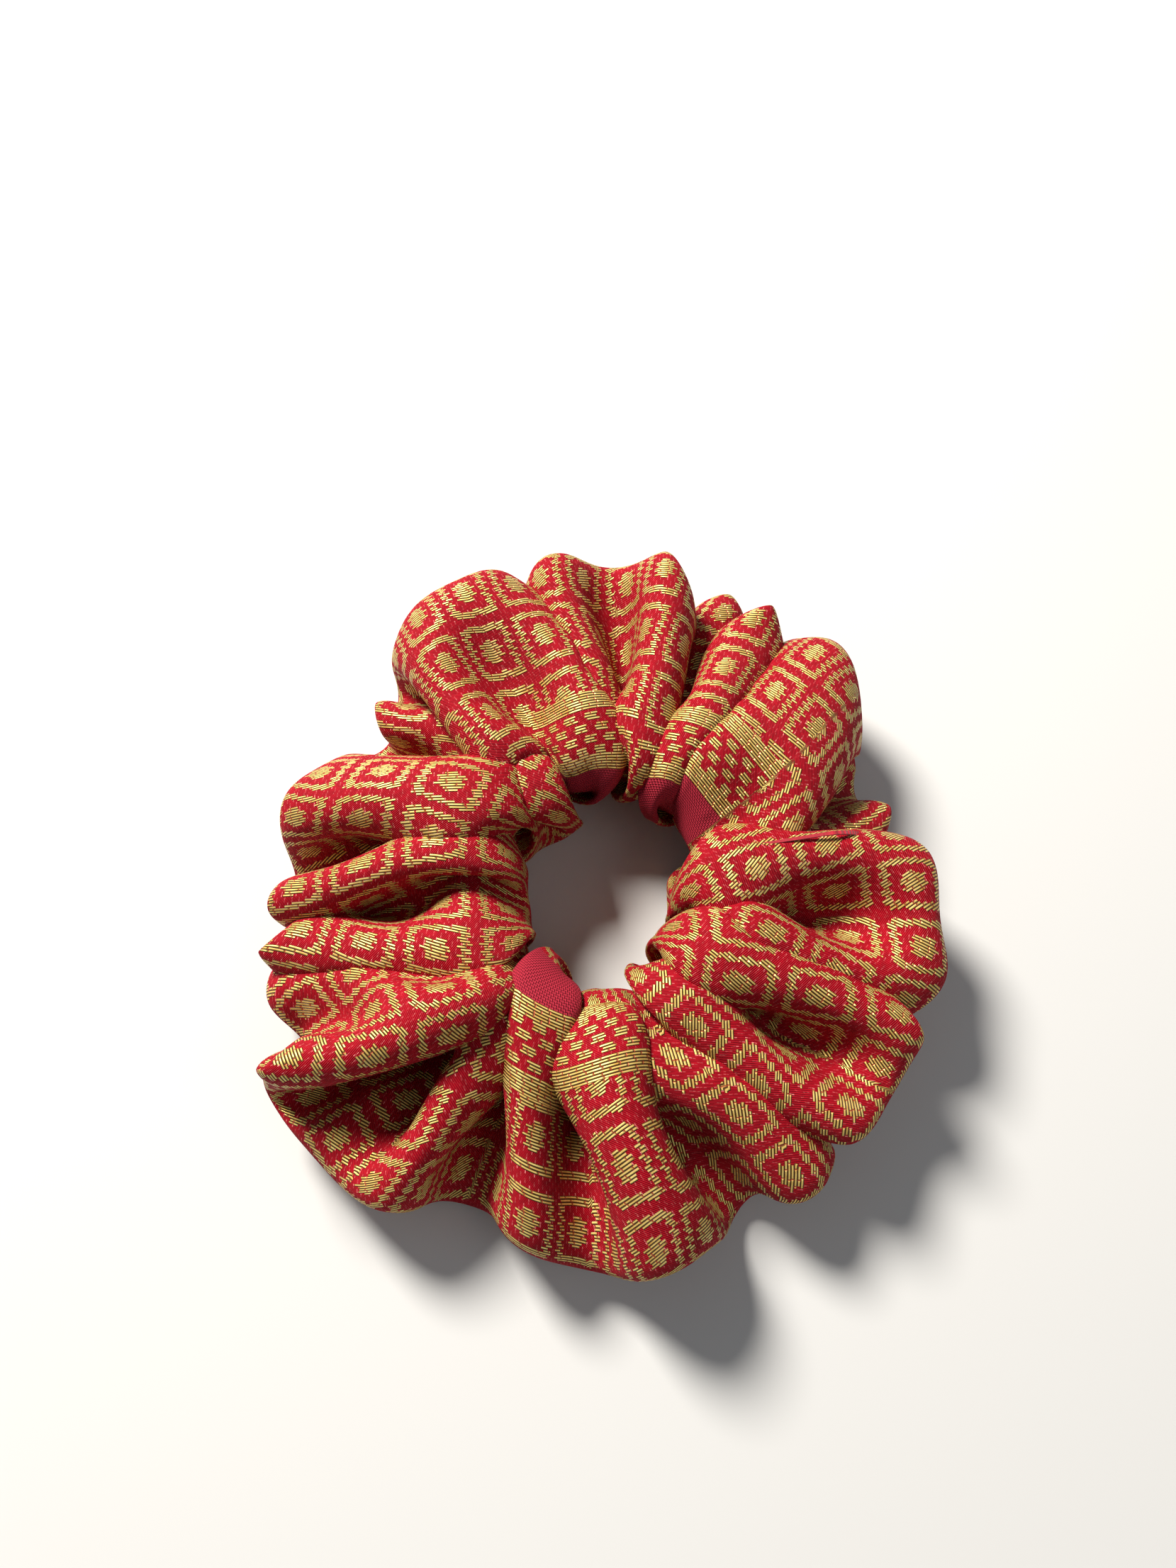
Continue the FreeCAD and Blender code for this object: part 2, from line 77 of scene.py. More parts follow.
# ------------------------------------------------------------------ the cloth's shape
# ---------------------------------------------------------------- fold lines, clockwise from the groove below lobe A
# kind, angle at inner/mid/outer radius, height at inner/mid/outer, outer radius, inner radius
# fold lines, clockwise: name, then radius, angle and height at points from the hole to the rim
LINES=[
("tBA",[(13,153.7,13),(23.6,162.5,9),(33.8,164.4,9),(42.2,169.5,7),(48.7,174.9,7),(53.6,181,5)]),
("A",[(13.3,141.8,17),(17.1,146.0,23),(24.7,153.2,27),(34.3,160.2,28),(44.6,164.7,26),(55.0,168.7,17)]),
("tA2",[(15.7,131.6,13),(26,129.7,9),(34.8,130.8,8),(41.1,134.3,7),(48,141,5)]),
("A2",[(15.5,129.0,17),(22.7,130.8,20),(30.6,132.6,21),(38.1,135.4,20),(48.1,141.0,13)]),
("tAN",[(17.8,121.3,13),(27.2,124.1,11),(35.9,126.8,12),(43.1,131.1,7),(50,135.7,5)]),
("Na1",[(20.1,104.5,13),(21.9,116.5,20),(27.1,122.3,24),(35.0,123.5,26),(44.3,123.7,27),(60.0,123.8,18)]),
("tNa",[(21.6,96.7,11),(25.5,104.3,10),(31.5,111.2,10),(38.0,114.5,14),(45.8,114.8,19),(57.6,113.2,18)]),
("Na2",[(19.8,93.7,17),(23.3,97.6,22),(29.3,103.2,26),(36.8,105.4,27),(45.4,106.2,25),(56.7,108.1,18)]),
("tN1",[(21.7,91.3,11),(29,90.9,9),(36,92.8,8),(44.4,95.4,8),(51.3,98.6,7),(60.2,104.7,5)]),
("N1",[(19.8,89.4,15),(26.3,89.5,18),(32.2,90.3,20),(38.5,91.7,24),(46.1,94.7,27),(63.0,97.2,19)]),
("tN2",[(20.6,86.5,13),(27.7,86.4,11),(36.2,86.7,5),(43.7,87.0,5),(50.2,87.2,15),(61.6,87.5,19)]),
("N2",[(18.9,76.6,17),(24.9,74.7,23),(31.7,74.3,26),(39.4,76.2,27),(47.3,79.4,26),(60.3,80.5,18)]),
("tNM",[(21.3,69,10),(29.8,68.6,8),(38.9,69.5,8),(47,70.1,8),(53.5,71,7),(58.5,72.3,5)]),
("M",[(18.9,61.9,14),(24.6,60.9,15),(30.5,63.1,16),(38.5,65.7,17),(46.2,67.6,19),(61.3,67.1,17)]),
("tML",[(19.5,60,12),(29.5,61.9,10),(39.2,64,9),(47.1,64.6,9),(54.3,63.6,7),(57.5,62.5,5)]),
("L",[(16.5,54.2,17),(20.5,53.9,22),(27.9,55.9,25),(35.6,57.6,27),(43.6,58.4,26),(53.7,59.2,21),(58.5,59.4,14)]),
("tLK",[(16.5,49.8,12),(24.5,49.2,9),(34.8,50.6,9),(44.3,51.7,9),(52.4,53.7,7),(63.4,57.1,5)]),
("K1",[(11.4,33.6,17),(16.6,38.9,24),(25.6,39.8,27),(36.4,41.4,27),(47.4,44.3,25),(63.3,49.6,17)]),
("tK",[(16.3,4.6,13),(21.2,23.1,16),(28.4,26.6,17),(39.6,32.6,17),(49.3,36.8,17),(60.6,41.7,14)]),
("K2",[(17.6,-0.6,15),(23.1,14.1,19),(30.4,19.1,22),(39.7,25.7,22),(52.6,33.6,15)]),
("tK2",[(17.3,-0.3,13),(24.1,12.8,15),(31.8,16.2,18),(39.1,19.8,7),(48.7,26.4,5)]),
("K3",[(17.1,-4.0,15),(24.1,9.4,17),(31.0,11.0,21),(36.9,13.6,21),(45.3,19.1,15)]),
("tJK",[(16.4,-1.7,11),(21.4,9.4,8),(27.1,13.2,7),(34.9,12.4,7),(44.9,12.1,5)]),
("Ja",[(13.6,-19.8,17),(18.4,-9.5,22),(24.8,-3.7,25),(31.5,0.4,26),(39.7,1.6,25),(50.3,0.8,17)]),
("tJ",[(16.7,-23.2,13),(23.7,-11.1,9),(31.0,-5.7,6),(37.1,-5.2,10),(42.1,-5.5,16),(51.5,-5.8,16)]),
("Jb",[(18.1,-30.0,16),(23.2,-25.8,21),(29.4,-22.4,24),(36.5,-20.1,24),(43.3,-18.6,23),(51.4,-16.6,16)]),
("tJI",[(18.3,-31.9,10),(23.9,-24.5,8),(31.1,-21.1,8),(38.5,-20.5,7),(44.8,-20.6,5)]),
("Ia",[(20.1,-49.1,17),(23.9,-38.6,23),(29.7,-34.8,25),(36.5,-32.3,25),(43.1,-31.5,24),(50.3,-30.6,16)]),
("tI",[(21.9,-49.3,13),(26.3,-42.5,9),(31.9,-38.3,6),(37.9,-37.3,9),(44.4,-36.7,15),(50.6,-34.9,14)]),
("Ib",[(22.8,-54.9,16),(28.7,-51.9,21),(35.3,-48.8,24),(41.3,-45.7,23),(49.0,-41.9,16)]),
("tI2",[(23.4,-57.2,12),(30.2,-55,13),(37.4,-52.7,14),(43.5,-49.5,7),(51.8,-44.8,5)]),
("I2",[(23.5,-60.7,15),(30.4,-58.9,17),(37.3,-57.5,19),(43.9,-56.0,20),(50.5,-52.5,14),(54.5,-53.5,12)]),
("tH",[(19.3,-83.6,14),(24.7,-72.8,13),(30.1,-66.9,13),(35.3,-63.0,15),(41.5,-60.0,16),(46.0,-57.7,13),(53.0,-59.5,11)]),
("Hb",[(19.8,-91.2,17),(25.8,-84.5,23),(31.2,-77.8,25),(35.1,-71.0,24),(39.2,-64.2,20),(46.1,-59.2,14),(53.5,-61.5,12)]),
("tHG",[(20.5,-95.3,11),(25.9,-88.2,9),(31.5,-80.2,10),(35.8,-72.8,12),(41.2,-66.8,14),(47.5,-62,7),(55,-65,5)]),
("G",[(22.1,-99.9,17),(30.1,-93.4,24),(38.1,-88.2,27),(45.1,-85.3,27),(51.9,-84.2,24),(58.7,-83.1,16)]),
("tGF",[(20.9,-106.5,14),(27.1,-101.1,12),(34.5,-96,11),(42,-92.6,12),(49.3,-90.9,7),(56.9,-91.4,5)]),
("F",[(19.9,-114.9,18),(26.8,-107.9,19),(34.3,-105.2,19),(41.5,-102.3,20),(48.2,-99.2,20),(54.9,-98.1,15)]),
("tFD",[(22.5,-126.3,11),(28.1,-121.9,9),(34.8,-118.6,8),(40.9,-115.9,7),(47.5,-115.3,5)]),
("D",[(24.0,-125.9,13),(33.9,-119.7,16),(40.5,-121.2,19),(46.5,-124.1,20),(50.8,-126.0,21),(57.0,-127.5,12)]),
("tD2",[(24.6,-125.8,12),(33.9,-122.9,13),(41,-127.3,15),(46.5,-132.6,15),(53.6,-132.9,7),(63.5,-133.1,5)]),
("D2",[(25.4,-124.9,13),(34.3,-124.6,14),(40.4,-129.8,16),(47.2,-135.7,18),(55.2,-138.1,20),(65.0,-141.1,13)]),
("tCD",[(25.5,-125.7,11),(33.1,-125.1,9),(38.4,-131.2,8),(43.5,-139.1,8),(50.3,-143.3,12),(56.7,-145.1,14),(62.5,-146.5,10)]),
("C",[(23.1,-128.8,18),(29.5,-130.6,25),(35.1,-137.6,27),(41.9,-143.9,27),(50.7,-147.5,26),(57.0,-150.0,23),(63.0,-151.5,15)]),
("tC2",[(21.4,-135.7,14),(26.8,-143,17),(33,-150.4,18),(40.5,-156,16),(47.9,-153.9,7),(53.6,-153,5)]),
("C2",[(21.2,-136.9,15),(26.5,-145.7,18),(33.2,-153.5,19),(40.4,-159.0,19),(47.2,-159.2,20),(52.8,-159.0,14)]),
("tCB",[(19.7,-143.4,11),(25.3,-156.2,8),(33.7,-162.9,8),(41.3,-165.8,8),(47,-166.8,7),(53.5,-167.3,5)]),
("Bb",[(14.6,-152.9,17),(19.6,-151.3,22),(26.2,-154.7,24),(33.5,-160.5,23),(41.2,-166.8,22),(53.5,-170.6,14)]),
("tB",[(12.2,-171.1,14),(21.4,-170,13),(28.3,-176.1,9),(33.9,-175.6,9),(38.7,-172.2,11),(47.3,-173.2,7),(52,-173.6,5)]),
("Ba",[(11.0,-175.8,17),(15.8,-183.3,22),(21.9,-182.7,25),(29.1,-181.8,26),(36.8,-180.6,24),(41.8,-177.0,22),(48.5,-176.6,17),(53.0,-176.6,12)]),
]
def omega_table():
    W=np.linspace(0.0,2.3,231); n=400
    ph=(np.arange(n)+.5)/n*np.pi
    A=np.cos(W[:,None]*np.sin(ph)).mean(1); Z=np.sin(W[:,None]*np.sin(ph)).mean(1)
    return W,A,Z
WT,AT,ZT=omega_table()
def half_wave(ratio):
    """Omega for a half wave whose rise is ratio times its run"""
    k=np.searchsorted(ZT[:-1]/np.maximum(AT[:-1],1e-3),ratio)
    return WT[min(k,215)]
def wave_curve(Om,t):
    """normalised run and rise at fractions t of a half wave"""
    n=200
    ph=(np.arange(n)+.5)/n*np.pi
    ca=np.concatenate([[0],np.cumsum(np.cos(Om*np.sin(ph)))]); cz=np.concatenate([[0],np.cumsum(np.sin(Om*np.sin(ph)))])
    x=np.linspace(0,1,n+1)
    a=np.interp(t,x,ca); z=np.interp(t,x,cz)
    return a/ca[-1] if abs(ca[-1])>1e-9 else t, z/cz[-1] if cz[-1]>1e-9 else t
def knots(line,r):
    """angle and height of a fold line at radii r, eased a little at its points"""
    p=np.array(line[1]); k=np.linspace(-2.5,2.5,5); w=np.exp(-(k/2.0)**2); w/=w.sum()
    an=sum(wi*np.interp(r+ki,p[:,0],p[:,1]) for wi,ki in zip(w,k))
    z=sum(wi*np.interp(r+ki,p[:,0],p[:,2]) for wi,ki in zip(w,k))
    return an, z-LOWER*np.clip((20-z)/12,0,1)
LOWER=4.5
RIM=64.0                                    # no fold reaches past this radius
BAND_R=(19.9,22.1); BAND_Z=(10.3,18.5)      # room kept for the elastic inside the tube
def initial(NU,NV,L,C,thick_in=1.8,thick_out=5.5,d=None,wall=5.0):
    n=len(LINES)
    M=NV//2+1                       # rows from the inner edge to the outer edge
    rho=np.linspace(0,1,M)
    s=rho*C/2
    fr=np.clip((s-wall)/(C/2-wall),0,1)
    up=np.sin(np.clip(s/wall,0,1)*np.pi/2)
    rout=np.array([l[1][-1][0] for l in LINES],float); rin=np.clip([l[1][0][0] for l in LINES],12.5,18.8)
    rout=np.minimum(rout,RIM)
    r0=rin[:,None]+(rout-rin)[:,None]*fr[None]
    both=[knots(l,r0[i]) for i,l in enumerate(LINES)]
    ang=np.array([q[0] for q in both]); hgt=np.array([q[1] for q in both])   # n,M
    ang=np.vstack([ang,ang[:1]-360]); hgt=np.vstack([hgt,hgt[:1]]); rout=np.append(rout,rout[0]); rin=np.append(rin,rin[0])
    rr=rin[:,None]+(rout-rin)[:,None]*fr[None]
    du=np.zeros((n,M)); Oms=np.zeros((n,M))
    for k in range(n):
        for m in range(M):
            run=np.hypot(np.radians(ang[k,m]-ang[k+1,m])*(rr[k,m]+rr[k+1,m])/2,(rr[k,m]-rr[k+1,m])*0.7)
            rise=abs(hgt[k+1,m]-hgt[k,m])
            Om=half_wave(rise/max(run,.2)); Oms[k,m]=Om
            J=np.interp(Om,WT,AT); H=np.interp(Om,WT,ZT)
            du[k,m]=max(run/max(J,.12), rise/max(H,.05) if rise>0.5 else 0)
    w=np.interp(rho,[0,.3,.6,1],[.1,.6,1,1])
    if d is None: d=(du*w).sum(1)/w.sum()
    d=d*L/d.sum()
    ub=np.concatenate([[0],np.cumsum(d)])
    u=(np.arange(NU))*L/NU
    k=np.clip(np.searchsorted(ub,u,side='right')-1,0,n-1); t=(u-ub[k])/d[k]
    A=np.zeros((NU,M)); Z=np.zeros((NU,M)); R=np.zeros((NU,M))
    for kk in range(n):
        sel=np.where(k==kk)[0]
        for m in range(M):
            fa,fz=wave_curve(Oms[kk,m],t[sel])
            A[sel,m]=ang[kk,m]+(ang[kk+1,m]-ang[kk,m])*fa
            Z[sel,m]=hgt[kk,m]+(hgt[kk+1,m]-hgt[kk,m])*fz
            sm=t[sel]*t[sel]*(3-2*t[sel])
            R[sel,m]=rr[kk,m]+(rr[kk+1,m]-rr[kk,m])*sm
    dA=-(np.radians(np.roll(A,-1,0)-np.roll(A,1,0)+0.0)); dA[0]=-(np.radians(A[1]-(A[-1]+360))); dA[-1]=-(np.radians((A[0]-360)-A[-2]))
    ta=dA*R; tz=np.roll(Z,-1,0)-np.roll(Z,1,0)
    nn=np.hypot(ta,tz)+1e-9
    na=-tz/nn; nz=ta/nn            # normal: up at a crest; arc direction is clockwise
    th=np.interp(s,[0,wall,10,.6*C/2,C/2],[thick_in,thick_in,thick_in*1.6,thick_out,thick_out])*np.sqrt(np.clip(np.sin(np.pi*np.clip(.5*up+.5*fr,0,1)),0,1))
    zc=(BAND_Z[0]+BAND_Z[1])/2
    X=np.zeros((NU,NV,3))
    for j in range(NV):
        m=j if j<M else NV-j
        sgn=1 if j<M else -1
        off=sgn*th[m]/2 if 0<m<M-1 else 0
        a=np.radians(A[:,m]); r=R[:,m].copy()
        a2=a-(na[:,m]*off)/r
        z=Z[:,m]+nz[:,m]*off
        # the cloth passes over and under the elastic, and down the wall of the hole
        e=np.clip((27.5-r)/5.0,0,1); e=e*e*(3-2*e)
        if m<M-1:
            if sgn>0: z=z+np.maximum(0,BAND_Z[1]+.7-z)*e
            else: z=z-np.maximum(0,z-(BAND_Z[0]-.7))*e
        z=zc+(z-zc)*up[m]
        r=np.where(s[m]<wall,np.minimum(r,BAND_R[0]-.6),r)
        X[:,j,0]=r*np.cos(a2); X[:,j,1]=r*np.sin(a2); X[:,j,2]=z
    return X,ub,d
def fit_initial(NU,NV,L,C,**kw):
    X,ub,d=initial(NU,NV,L,C,**kw)
    for it in range(3):
        seg=np.sqrt(((np.roll(X,-1,0)-X)**2).sum(2))      # NU,NV
        cum=np.vstack([np.zeros((1,NV)),np.cumsum(seg,0)])
        at=np.array([[np.interp(b*NU/L,np.arange(NU+1),cum[:,j]) for j in range(NV)] for b in ub])
        g=np.diff(at,axis=0)                               # n,NV geometric lengths
        M=NV//2+1
        w=np.interp(np.minimum(np.arange(NV),NV-np.arange(NV))/(M-1.),[0,.25,.6,1],[.05,.5,1,1])
        d=(g*w).sum(1)/w.sum()
        X,ub,d=initial(NU,NV,L,C,d=d,**kw)
    return X,ub,d
def neighbours(P,rad,NU,NV,excl):
    """pairs of vertices closer than rad, not near each other in the cloth"""
    cell=rad
    q=np.floor((P-P.min(0))/cell).astype(np.int64)+1
    S=np.array([1,0,0]); dims=q.max(0)+2
    key=(q[:,0]*dims[1]+q[:,1])*dims[2]+q[:,2]
    order=np.argsort(key,kind='stable'); ks=key[order]
    offs=[(0,0,0)]+[(1,y,z) for y in (-1,0,1) for z in (-1,0,1)]+[(0,1,z) for z in (-1,0,1)]+[(0,0,1)]
    I=[];J=[]
    n=len(P); ids=np.arange(n)
    for o in offs:
        kk=key+(o[0]*dims[1]+o[1])*dims[2]+o[2]
        a=np.searchsorted(ks,kk,'left'); b=np.searchsorted(ks,kk,'right')
        c=b-a; mx=int(c.max()) if len(c) else 0
        for m in range(mx):
            ok=c>m
            i=ids[ok]; j=order[a[ok]+m]
            if o==(0,0,0):
                s=j>i; i=i[s]; j=j[s]
            d=P[i]-P[j]
            s=(d*d).sum(1)<rad*rad
            I.append(i[s]); J.append(j[s])
    I=np.concatenate(I); J=np.concatenate(J)
    iu,iv=I//NV,I%NV; ju,jv=J//NV,J%NV
    du=np.abs(iu-ju); du=np.minimum(du,NU-du); dv=np.abs(iv-jv); dv=np.minimum(dv,NV-dv)
    s=(du>excl)|(dv>excl)
    return I[s],J[s]
def edges(P,rest,k):
    """exact solve of every other edge, then of the rest, in place"""
    n=P.shape[0]
    A=P[0::2];B=P[1::2]
    d=B-A; l=np.sqrt((d*d).sum(2))+1e-9; c=d*(0.5*k*(l-rest)/l)[...,None]
    P[0::2]=A+c; P[1::2]=B-c
    A=P[1::2];B=np.roll(P[0::2],-1,0)
    d=B-A; l=np.sqrt((d*d).sum(2))+1e-9; c=d*(0.5*k*(l-rest)/l)[...,None]
    P[1::2]=A+c; P[0::2]=np.roll(B-c,1,0)
def relax(X,L,C,steps,thick,guide=None,gw=0.0,press=0.0,bend=((0.5,1),(0.5,2),(0.5,4)),bendv=None,grav=0.0,rebuild=8,hole=None,zmax=29.0,damp=0.9,floor=None,seed=1,rinmax=None,noise=0.0,reps=3,ks=1.0,band=True,squeeze=((0,4,10,16),(.4,.55,.85,1.0))):
    NU,NV,_=X.shape
    hu=L/NU; hv=C/NV
    sv0=np.minimum(np.arange(NV),NV-np.arange(NV))*hv
    ru=hu*np.interp(sv0,squeeze[0],squeeze[1]); rub=(ru+np.roll(ru,-1))/2
    hd=np.hypot(rub,hv); hd2=np.hypot((ru+np.roll(ru,1))/2,hv)
    P=X.copy(); Q=P.copy()
    if floor is None: floor=thick/2
    excl=max(2,int(np.ceil(thick*1.3/min(hu,hv))))
    rng=np.random.RandomState(seed)
    pairs=None
    def spring(P,Qv,du,dv,rest,k,comp=1.0):
        B=np.roll(P,(-du,-dv),(0,1))
        d=B-P; l=np.sqrt((d*d).sum(2))+1e-9
        e=(l-rest)/l
        if comp!=1.0: e=np.where(e<0,e*comp,e)
        c=d*(0.5*k*e)[...,None]
        return c-np.roll(c,(du,dv),(0,1))
    for it in range(steps):
        v=(P-Q)*damp; Q=P.copy()
        # pressure along normals
        if press or it%1==0:
            a=np.roll(P,-1,0)-np.roll(P,1,0); b=np.roll(P,-1,1)-np.roll(P,1,1)
            N=np.cross(a,b); N/=np.sqrt((N*N).sum(2))[...,None]+1e-9
        P=P+v+N*press
        P[...,2]-=grav
        if noise and it<steps*0.5: P+=rng.normal(0,noise,P.shape)
        # structural: gauss-seidel flavour by sequential families
        for rep in range(reps):
            edges(P,ru,ks); edges(P.transpose(1,0,2),hv,ks)
        P=P+spring(P,None,1,1,hd,0.25)*0.7
        P=P+spring(P,None,1,-1,hd2,0.25)*0.7
        for ax,lst in ((0,bend),(1,bendv if bendv is not None else bend)):
            for kb,sb in lst:
                e=(np.roll(P,sb,ax)+np.roll(P,-sb,ax))/2-P; c=e*kb*0.5
                P=P+c-0.5*(np.roll(c,sb,ax)+np.roll(c,-sb,ax))
        if guide is not None and gw>0:
            P=P+(guide[0]-P)*(guide[1]*gw)[...,None]
        if it%rebuild==0:
            pairs=neighbours(P.reshape(-1,3),thick+0.9,NU,NV,excl)
        F=P.reshape(-1,3)
        I,J=pairs
        d=F[I]-F[J]; l=np.sqrt((d*d).sum(1))+1e-9
        s=l<thick
        I2=I[s];J2=J[s]; c=d[s]*(0.5*(thick-l[s])/l[s])[:,None]
        cnt=np.bincount(I2,minlength=len(F))+np.bincount(J2,minlength=len(F))
        acc=np.stack([np.bincount(I2,c[:,q],len(F))-np.bincount(J2,c[:,q],len(F)) for q in range(3)],1)
        F=F+acc*(1.3/np.maximum(cnt,1.3))[:,None]
        P=F.reshape(NU,NV,3)
        if band:
            # the elastic lies inside the tube: upper cloth stays over it, lower cloth under it, the inner edge on its hole side
            r=np.hypot(P[...,0],P[...,1]); z=P[...,2]
            zc=(BAND_Z[0]+BAND_Z[1])/2; rc=(BAND_R[0]+BAND_R[1])/2
            hr=(BAND_R[1]-BAND_R[0])/2+thick/2-.3; hz=(BAND_Z[1]-BAND_Z[0])/2+thick/2-.3
            dr=r-rc; dz=z-zc
            pr=hr-np.abs(dr); pz=hz-np.abs(dz)
            ins=(pr>0)&(pz>0)
            jj=np.arange(NV)[None,:]
            top=(jj<=NV//2)
            sgn=np.where(top,1.0,-1.0)
            # distance along the cloth from the inner edge decides which face it belongs to
            sv=np.minimum(jj,NV-jj)*hv
            wrong=(np.abs(dr)<hr)&(dz*sgn<hz)&(sv>=4.0)&(sv<12.0)
            inner=(sv<4.0)
            nz=np.where(wrong|(ins&~inner),zc+sgn*hz,z)
            nr=np.where((inner&(r>rc-hr)&(np.abs(dz)<hz)),rc-hr,r)
            P[...,2]=z+(nz-z)*0.35
            f=1+(nr/np.maximum(r,1e-6)-1)*0.35
            P[...,0]*=f; P[...,1]*=f
        P[...,2]=np.maximum(P[...,2],floor)
        over=P[...,2]>zmax
        P[...,2]=np.where(over,zmax+(P[...,2]-zmax)*0.8,P[...,2])
        if hole is not None:
            r=np.hypot(P[...,0],P[...,1]); f=np.where(r<hole,hole/np.maximum(r,1e-6),1.0)
            P[...,0]*=1+(f-1)*0.3; P[...,1]*=1+(f-1)*0.3
        if rinmax is not None:
            # the elastic holds the inner edge: rows near the inner edge may not go out past rinmax
            r=np.hypot(P[:,:1,0],P[:,:1,1]); f=np.where(r>rinmax,rinmax/r,1.0)
            P[:,:1,0]*=1+(f-1)*0.3; P[:,:1,1]*=1+(f-1)*0.3
    return P
def upsample(P,fu,fv):
    # periodic cubic (Catmull-Rom) along both axes
    def up(A,f,ax):
        A=np.moveaxis(A,ax,0); n=A.shape[0]
        out=np.zeros((n*f,)+A.shape[1:])
        p0=np.roll(A,1,0);p1=A;p2=np.roll(A,-1,0);p3=np.roll(A,-2,0)
        for q in range(f):
            t=q/f
            out[q::f]=0.5*((2*p1)+(-p0+p2)*t+(2*p0-5*p1+4*p2-p3)*t*t+(-p0+3*p1-3*p2+p3)*t**3)
        return np.moveaxis(out,0,ax)
    return up(up(P,fu,0),fv,1)

# ------------------------------------------------------------------ relaxing the cloth
LEN, ROUND = 700.0, 96.0                    # length of the tube before it was gathered, and round it
TIPS = ("C", "C2", "L", "A2", "K2", "K3")          # folds that end in a tip
def soften(P, n, near_=8.0, far_=18.0):
    """takes sharp tips off the cloth near the tube's outer edge and keeps the larger folds"""
    nv = P.shape[1]
    w = np.clip((far_ - np.abs(np.arange(nv) * ROUND / nv - ROUND / 2)) / (far_ - near_), 0.0, 1.0)[None, :, None]
    for i in range(n):
        for k in (0.5, -0.53):
            for ax in (0, 1):
                P = P + k * w * ((np.roll(P, 1, ax) + np.roll(P, -1, ax)) / 2 - P)
    return P
def blunt(P, at, n, ru=8.0, rv=11.0):
    """rounds the tips of single folds at the tube's outer edge"""
    u = np.arange(P.shape[0]) * LEN / P.shape[0]; v = np.arange(P.shape[1]) * ROUND / P.shape[1]
    du = np.min(np.abs((u[:, None] - np.array(at)[None] + LEN / 2) % LEN - LEN / 2), 1)
    w = (np.exp(-(du / ru) ** 2)[:, None] * np.exp(-((v - ROUND / 2) / rv) ** 2)[None])[..., None]
    for i in range(n):
        for ax in (0, 1):
            P = P + 0.5 * w * ((np.roll(P, 1, ax) + np.roll(P, -1, ax)) / 2 - P)
    return P
def cloth_shape():
    h = 2.3
    nu = int(round(LEN / h)); nu += nu % 2
    nv = int(round(ROUND / h)); nv += nv % 2
    X, ub, d = fit_initial(nu, nv, LEN, ROUND, thick_out=9.0)
    u = np.arange(nu) * LEN / nu
    near = np.min(np.abs(u[:, None] - ub[None]), 1)
    vv = np.minimum(np.arange(nv), nv - np.arange(nv)) * ROUND / nv
    g = np.exp(-(near / 3.0) ** 2)[:, None] * np.clip((vv - 4) / 8, 0.0, 1)[None]
    P = relax(X, LEN, ROUND, 450, 1.6, press=0.016, hole=11.5, rinmax=19.0, guide=(X, g), gw=0.06, damp=0.96, grav=0.01, bend=((0.5, 1), (0.3, 2)))
    P = blunt(soften(upsample(P, 2, 2), 16), [ub[i] for i, l in enumerate(LINES) if l[0] in TIPS], 70)
    P = relax(P, LEN, ROUND, 45, 1.2, press=0.0, grav=0.003, hole=11.5, rinmax=19.0, bend=((0.3, 1), (0.2, 2)), floor=0.5)
    return soften(P, 6)
P = cloth_shape()
FINE = upsample(P, 2, 2)                    # rows round the ring (clockwise), columns round the tube
NU, NV = FINE.shape[:2]
HU, HV = LEN / NU, ROUND / NV
a_ = np.roll(FINE, -1, 0) - np.roll(FINE, 1, 0); b_ = np.roll(FINE, -1, 1) - np.roll(FINE, 1, 1)
NORM = np.cross(a_, b_); NORM /= np.linalg.norm(NORM, axis=2)[..., None] + 1e-12

# where each row of the cloth sits round the ring, from the part of it beside the elastic
sv_ = np.minimum(np.arange(NV), NV - np.arange(NV)) * HV
inner = sv_ < 14.0
ang = np.degrees(np.unwrap(np.arctan2(FINE[:, inner, 1].mean(1), FINE[:, inner, 0].mean(1))))
ang = ang - 360.0 * np.round((ang[0] - 169.0) / 360.0)
k_ = int(round(5.0 / HU))
ext = np.concatenate([ang + 360, ang, ang - 360])
ker = np.hanning(2 * k_ + 1); ker /= ker.sum()
ext = np.convolve(ext, ker, "same")
ext = np.minimum.accumulate(ext) - np.arange(len(ext)) * 1e-6
EXT_I = np.arange(-NU, 2 * NU)
def row_at(angle):
    """the row of cloth at an angle round the ring; rows may run past either end"""
    return int(round(float(np.interp(-angle, -ext, EXT_I))))
def angle_of(rows):
    return np.interp(rows, EXT_I, ext)

# ------------------------------------------------------------------ how the pattern lies on the tube
# at each fold line: how far round the tube the plain band beside the selvedge lies from the inner edge, in mm,
# and the slant of the gold threads, in degrees from the tube's length; both change over inside the grooves
LAID = [("tBA", 34, 112), ("tA2", 34, 100), ("tAN", 34, -8), ("tNa", 4, 8), ("tN1", 30, 24), ("tN2", 32, 10), ("tNM", 34, 40),
        ("tML", 2, 16), ("tLK", 0.5, 8), ("tK", 34, 128), ("tK2", 34, 70), ("tJK", 34, 118), ("tJ", 34, 70), ("tJI", 34, 60), ("tI", 34, 40),
        ("tI2", 34, 48), ("tH", 36, 55), ("tHG", 4, 15), ("tGF", -3.5, 0), ("tFD", 34, 35), ("tD2", 34, 30), ("tCD", 34, 35), ("tC2", 34, 50),
        ("tCB", 34, 80), ("tB", 34, 75)]
X_, ub_, d_ = fit_initial(288, 38, LEN, ROUND, thick_out=9.0)
LINE_U = {l[0]: ub_[i] for i, l in enumerate(LINES)}
u_all = np.arange(NU + 1) * HU
start = np.array([LINE_U[n] for n, v, q in LAID])
which = (np.searchsorted(start, np.mod(u_all, LEN), side="right") - 1) % len(LAID)
tw = np.array([v for n, v, q in LAID], float)[which]
lay = np.radians(np.array([q for n, v, q in LAID], float))[which]

